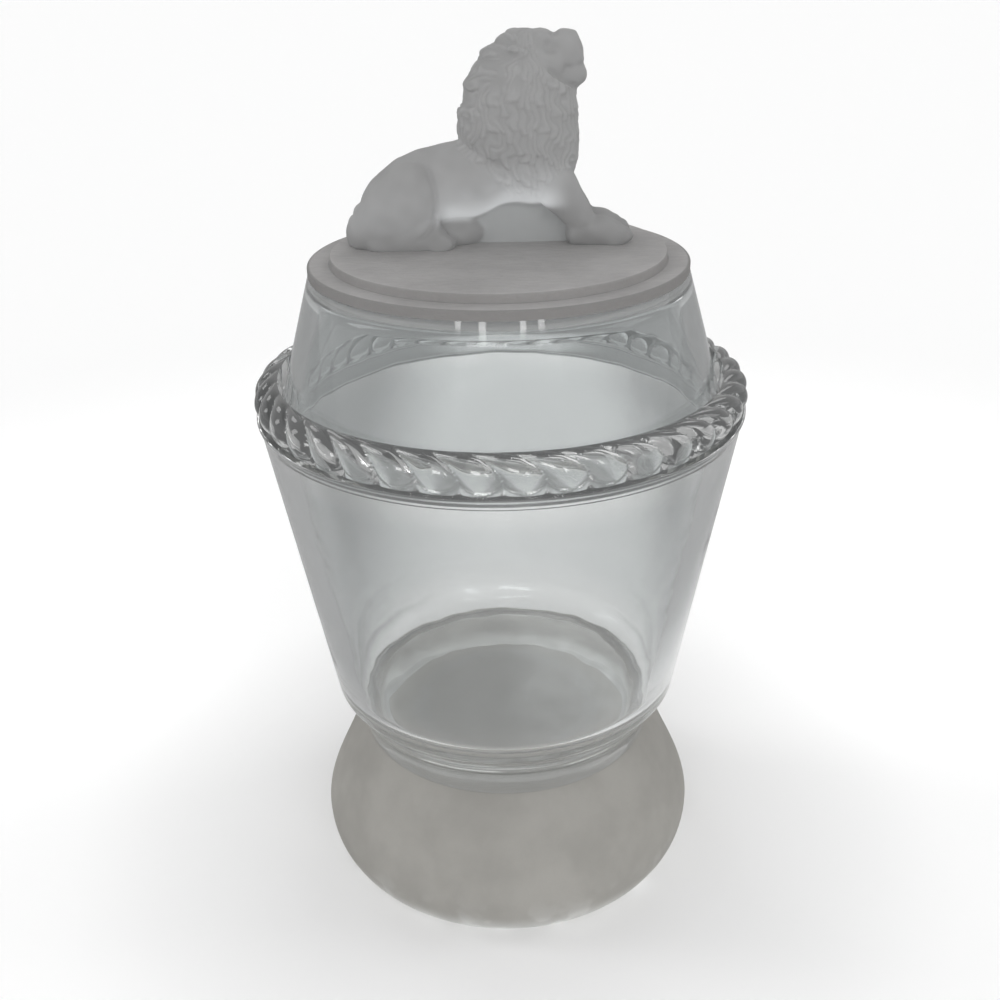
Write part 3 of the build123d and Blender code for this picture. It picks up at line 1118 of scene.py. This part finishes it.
class JAR_OT_lion(bpy.types.Operator):
    """Make the frosted lion"""

    bl_idname = "jar.lion"
    bl_label = "Lion"

    def execute(self, context):
        settings = context.scene.cover_settings
        # The web is painted paler as painted light, and the carving's grooves darker as painted shade.
        skin = frosted_glass("frosted_lion", settings, patch=lion_web,
                             patch_colour=settings.thin, tone=lion_groove_shade, shine=lion_shine)
        points, faces, count = [], [], 0
        for form_points, form_faces in lion_forms():
            points.append(form_points)
            faces += [[corner + count for corner in face] for face in form_faces]
            count += len(form_points)
        rough = bpy.data.meshes.new("lion_rough")
        rough.from_pydata(np.vstack(points).tolist(), [], faces)
        lion = bpy.data.objects.new("lion_glass", rough)
        context.scene.collection.objects.link(lion)
        remesh = lion.modifiers.new("one skin", "REMESH")
        remesh.mode = "VOXEL"
        remesh.voxel_size = settings.voxel
        joined = bpy.data.meshes.new_from_object(lion.evaluated_get(context.evaluated_depsgraph_get()))
        lion.modifiers.remove(remesh)

        size = len(joined.vertices)
        points = np.empty(size * 3, dtype=np.float32)
        joined.vertices.foreach_get("co", points)
        edges = np.empty(len(joined.edges) * 2, dtype=np.int32)
        joined.edges.foreach_get("vertices", edges)
        edges = edges.reshape(-1, 2)
        points = relax(points.reshape(-1, 3).astype(float), edges, settings.rounding)
        joined.vertices.foreach_set("co", points.ravel())
        joined.update()
        outward = np.empty(size * 3, dtype=np.float32)
        joined.vertices.foreach_get("normal", outward)
        outward = outward.reshape(-1, 3)

        rng = np.random.default_rng(7)
        locks, place = mane_relief(points, rng)
        height = settings.relief * (locks + body_relief(points, rng) * (1 - place))
        points = relax(points + outward * height[:, None], edges, 1)
        points[:, 2] = np.maximum(points[:, 2], -0.05)
        setback = (LION_LOW[1] + LION_HIGH[1]) / 2
        points = points * MM + (0, setback, LION_LOW[2])
        joined.vertices.foreach_set("co", points.ravel())
        joined.polygons.foreach_set("use_smooth", np.ones(len(joined.polygons), dtype=bool))
        carving = joined.attributes.new("relief", "FLOAT", "POINT")
        carving.data.foreach_set("value", height.astype(np.float32))
        joined.materials.clear()
        joined.materials.append(skin)
        joined.update()
        lion.data = joined
        bpy.data.meshes.remove(rough)
        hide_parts("lion")
        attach(lion, "cover")
        return {"FINISHED"}


class JAR_PT_panel(bpy.types.Panel):
    """The jar's steps in the sidebar"""

    bl_label = "Marmalade jar"
    bl_idname = "JAR_PT_panel"
    bl_space_type = "VIEW_3D"
    bl_region_type = "UI"
    bl_category = "Jar"

    def draw(self, context):
        for stage in STEPS:
            self.layout.operator(stage.bl_idname)


STEPS = (JAR_OT_stage, JAR_OT_bowl, JAR_OT_foot, JAR_OT_cover, JAR_OT_disc, JAR_OT_lion)
SETTINGS = {
    "jar_settings": JarSettings,
    "cover_settings": CoverSettings,
    "stage_settings": StageSettings,
}


def register():
    """Register the settings, the operators and the panel."""
    for name, group in SETTINGS.items():
        bpy.utils.register_class(group)
        setattr(bpy.types.Scene, name, bpy.props.PointerProperty(type=group))
    for kind in (*STEPS, JAR_PT_panel):
        bpy.utils.register_class(kind)


def unregister():
    """Remove everything that register added."""
    for kind in (JAR_PT_panel, *reversed(STEPS)):
        bpy.utils.unregister_class(kind)
    for name, group in SETTINGS.items():
        delattr(bpy.types.Scene, name)
        bpy.utils.unregister_class(group)


def main():
    """Build everything."""
    register()
    bpy.ops.jar.stage()
    bpy.ops.jar.bowl()
    bpy.ops.jar.foot()
    bpy.ops.jar.cover()
    bpy.ops.jar.disc()
    bpy.ops.jar.lion()


if __name__ == "__main__":
    main()
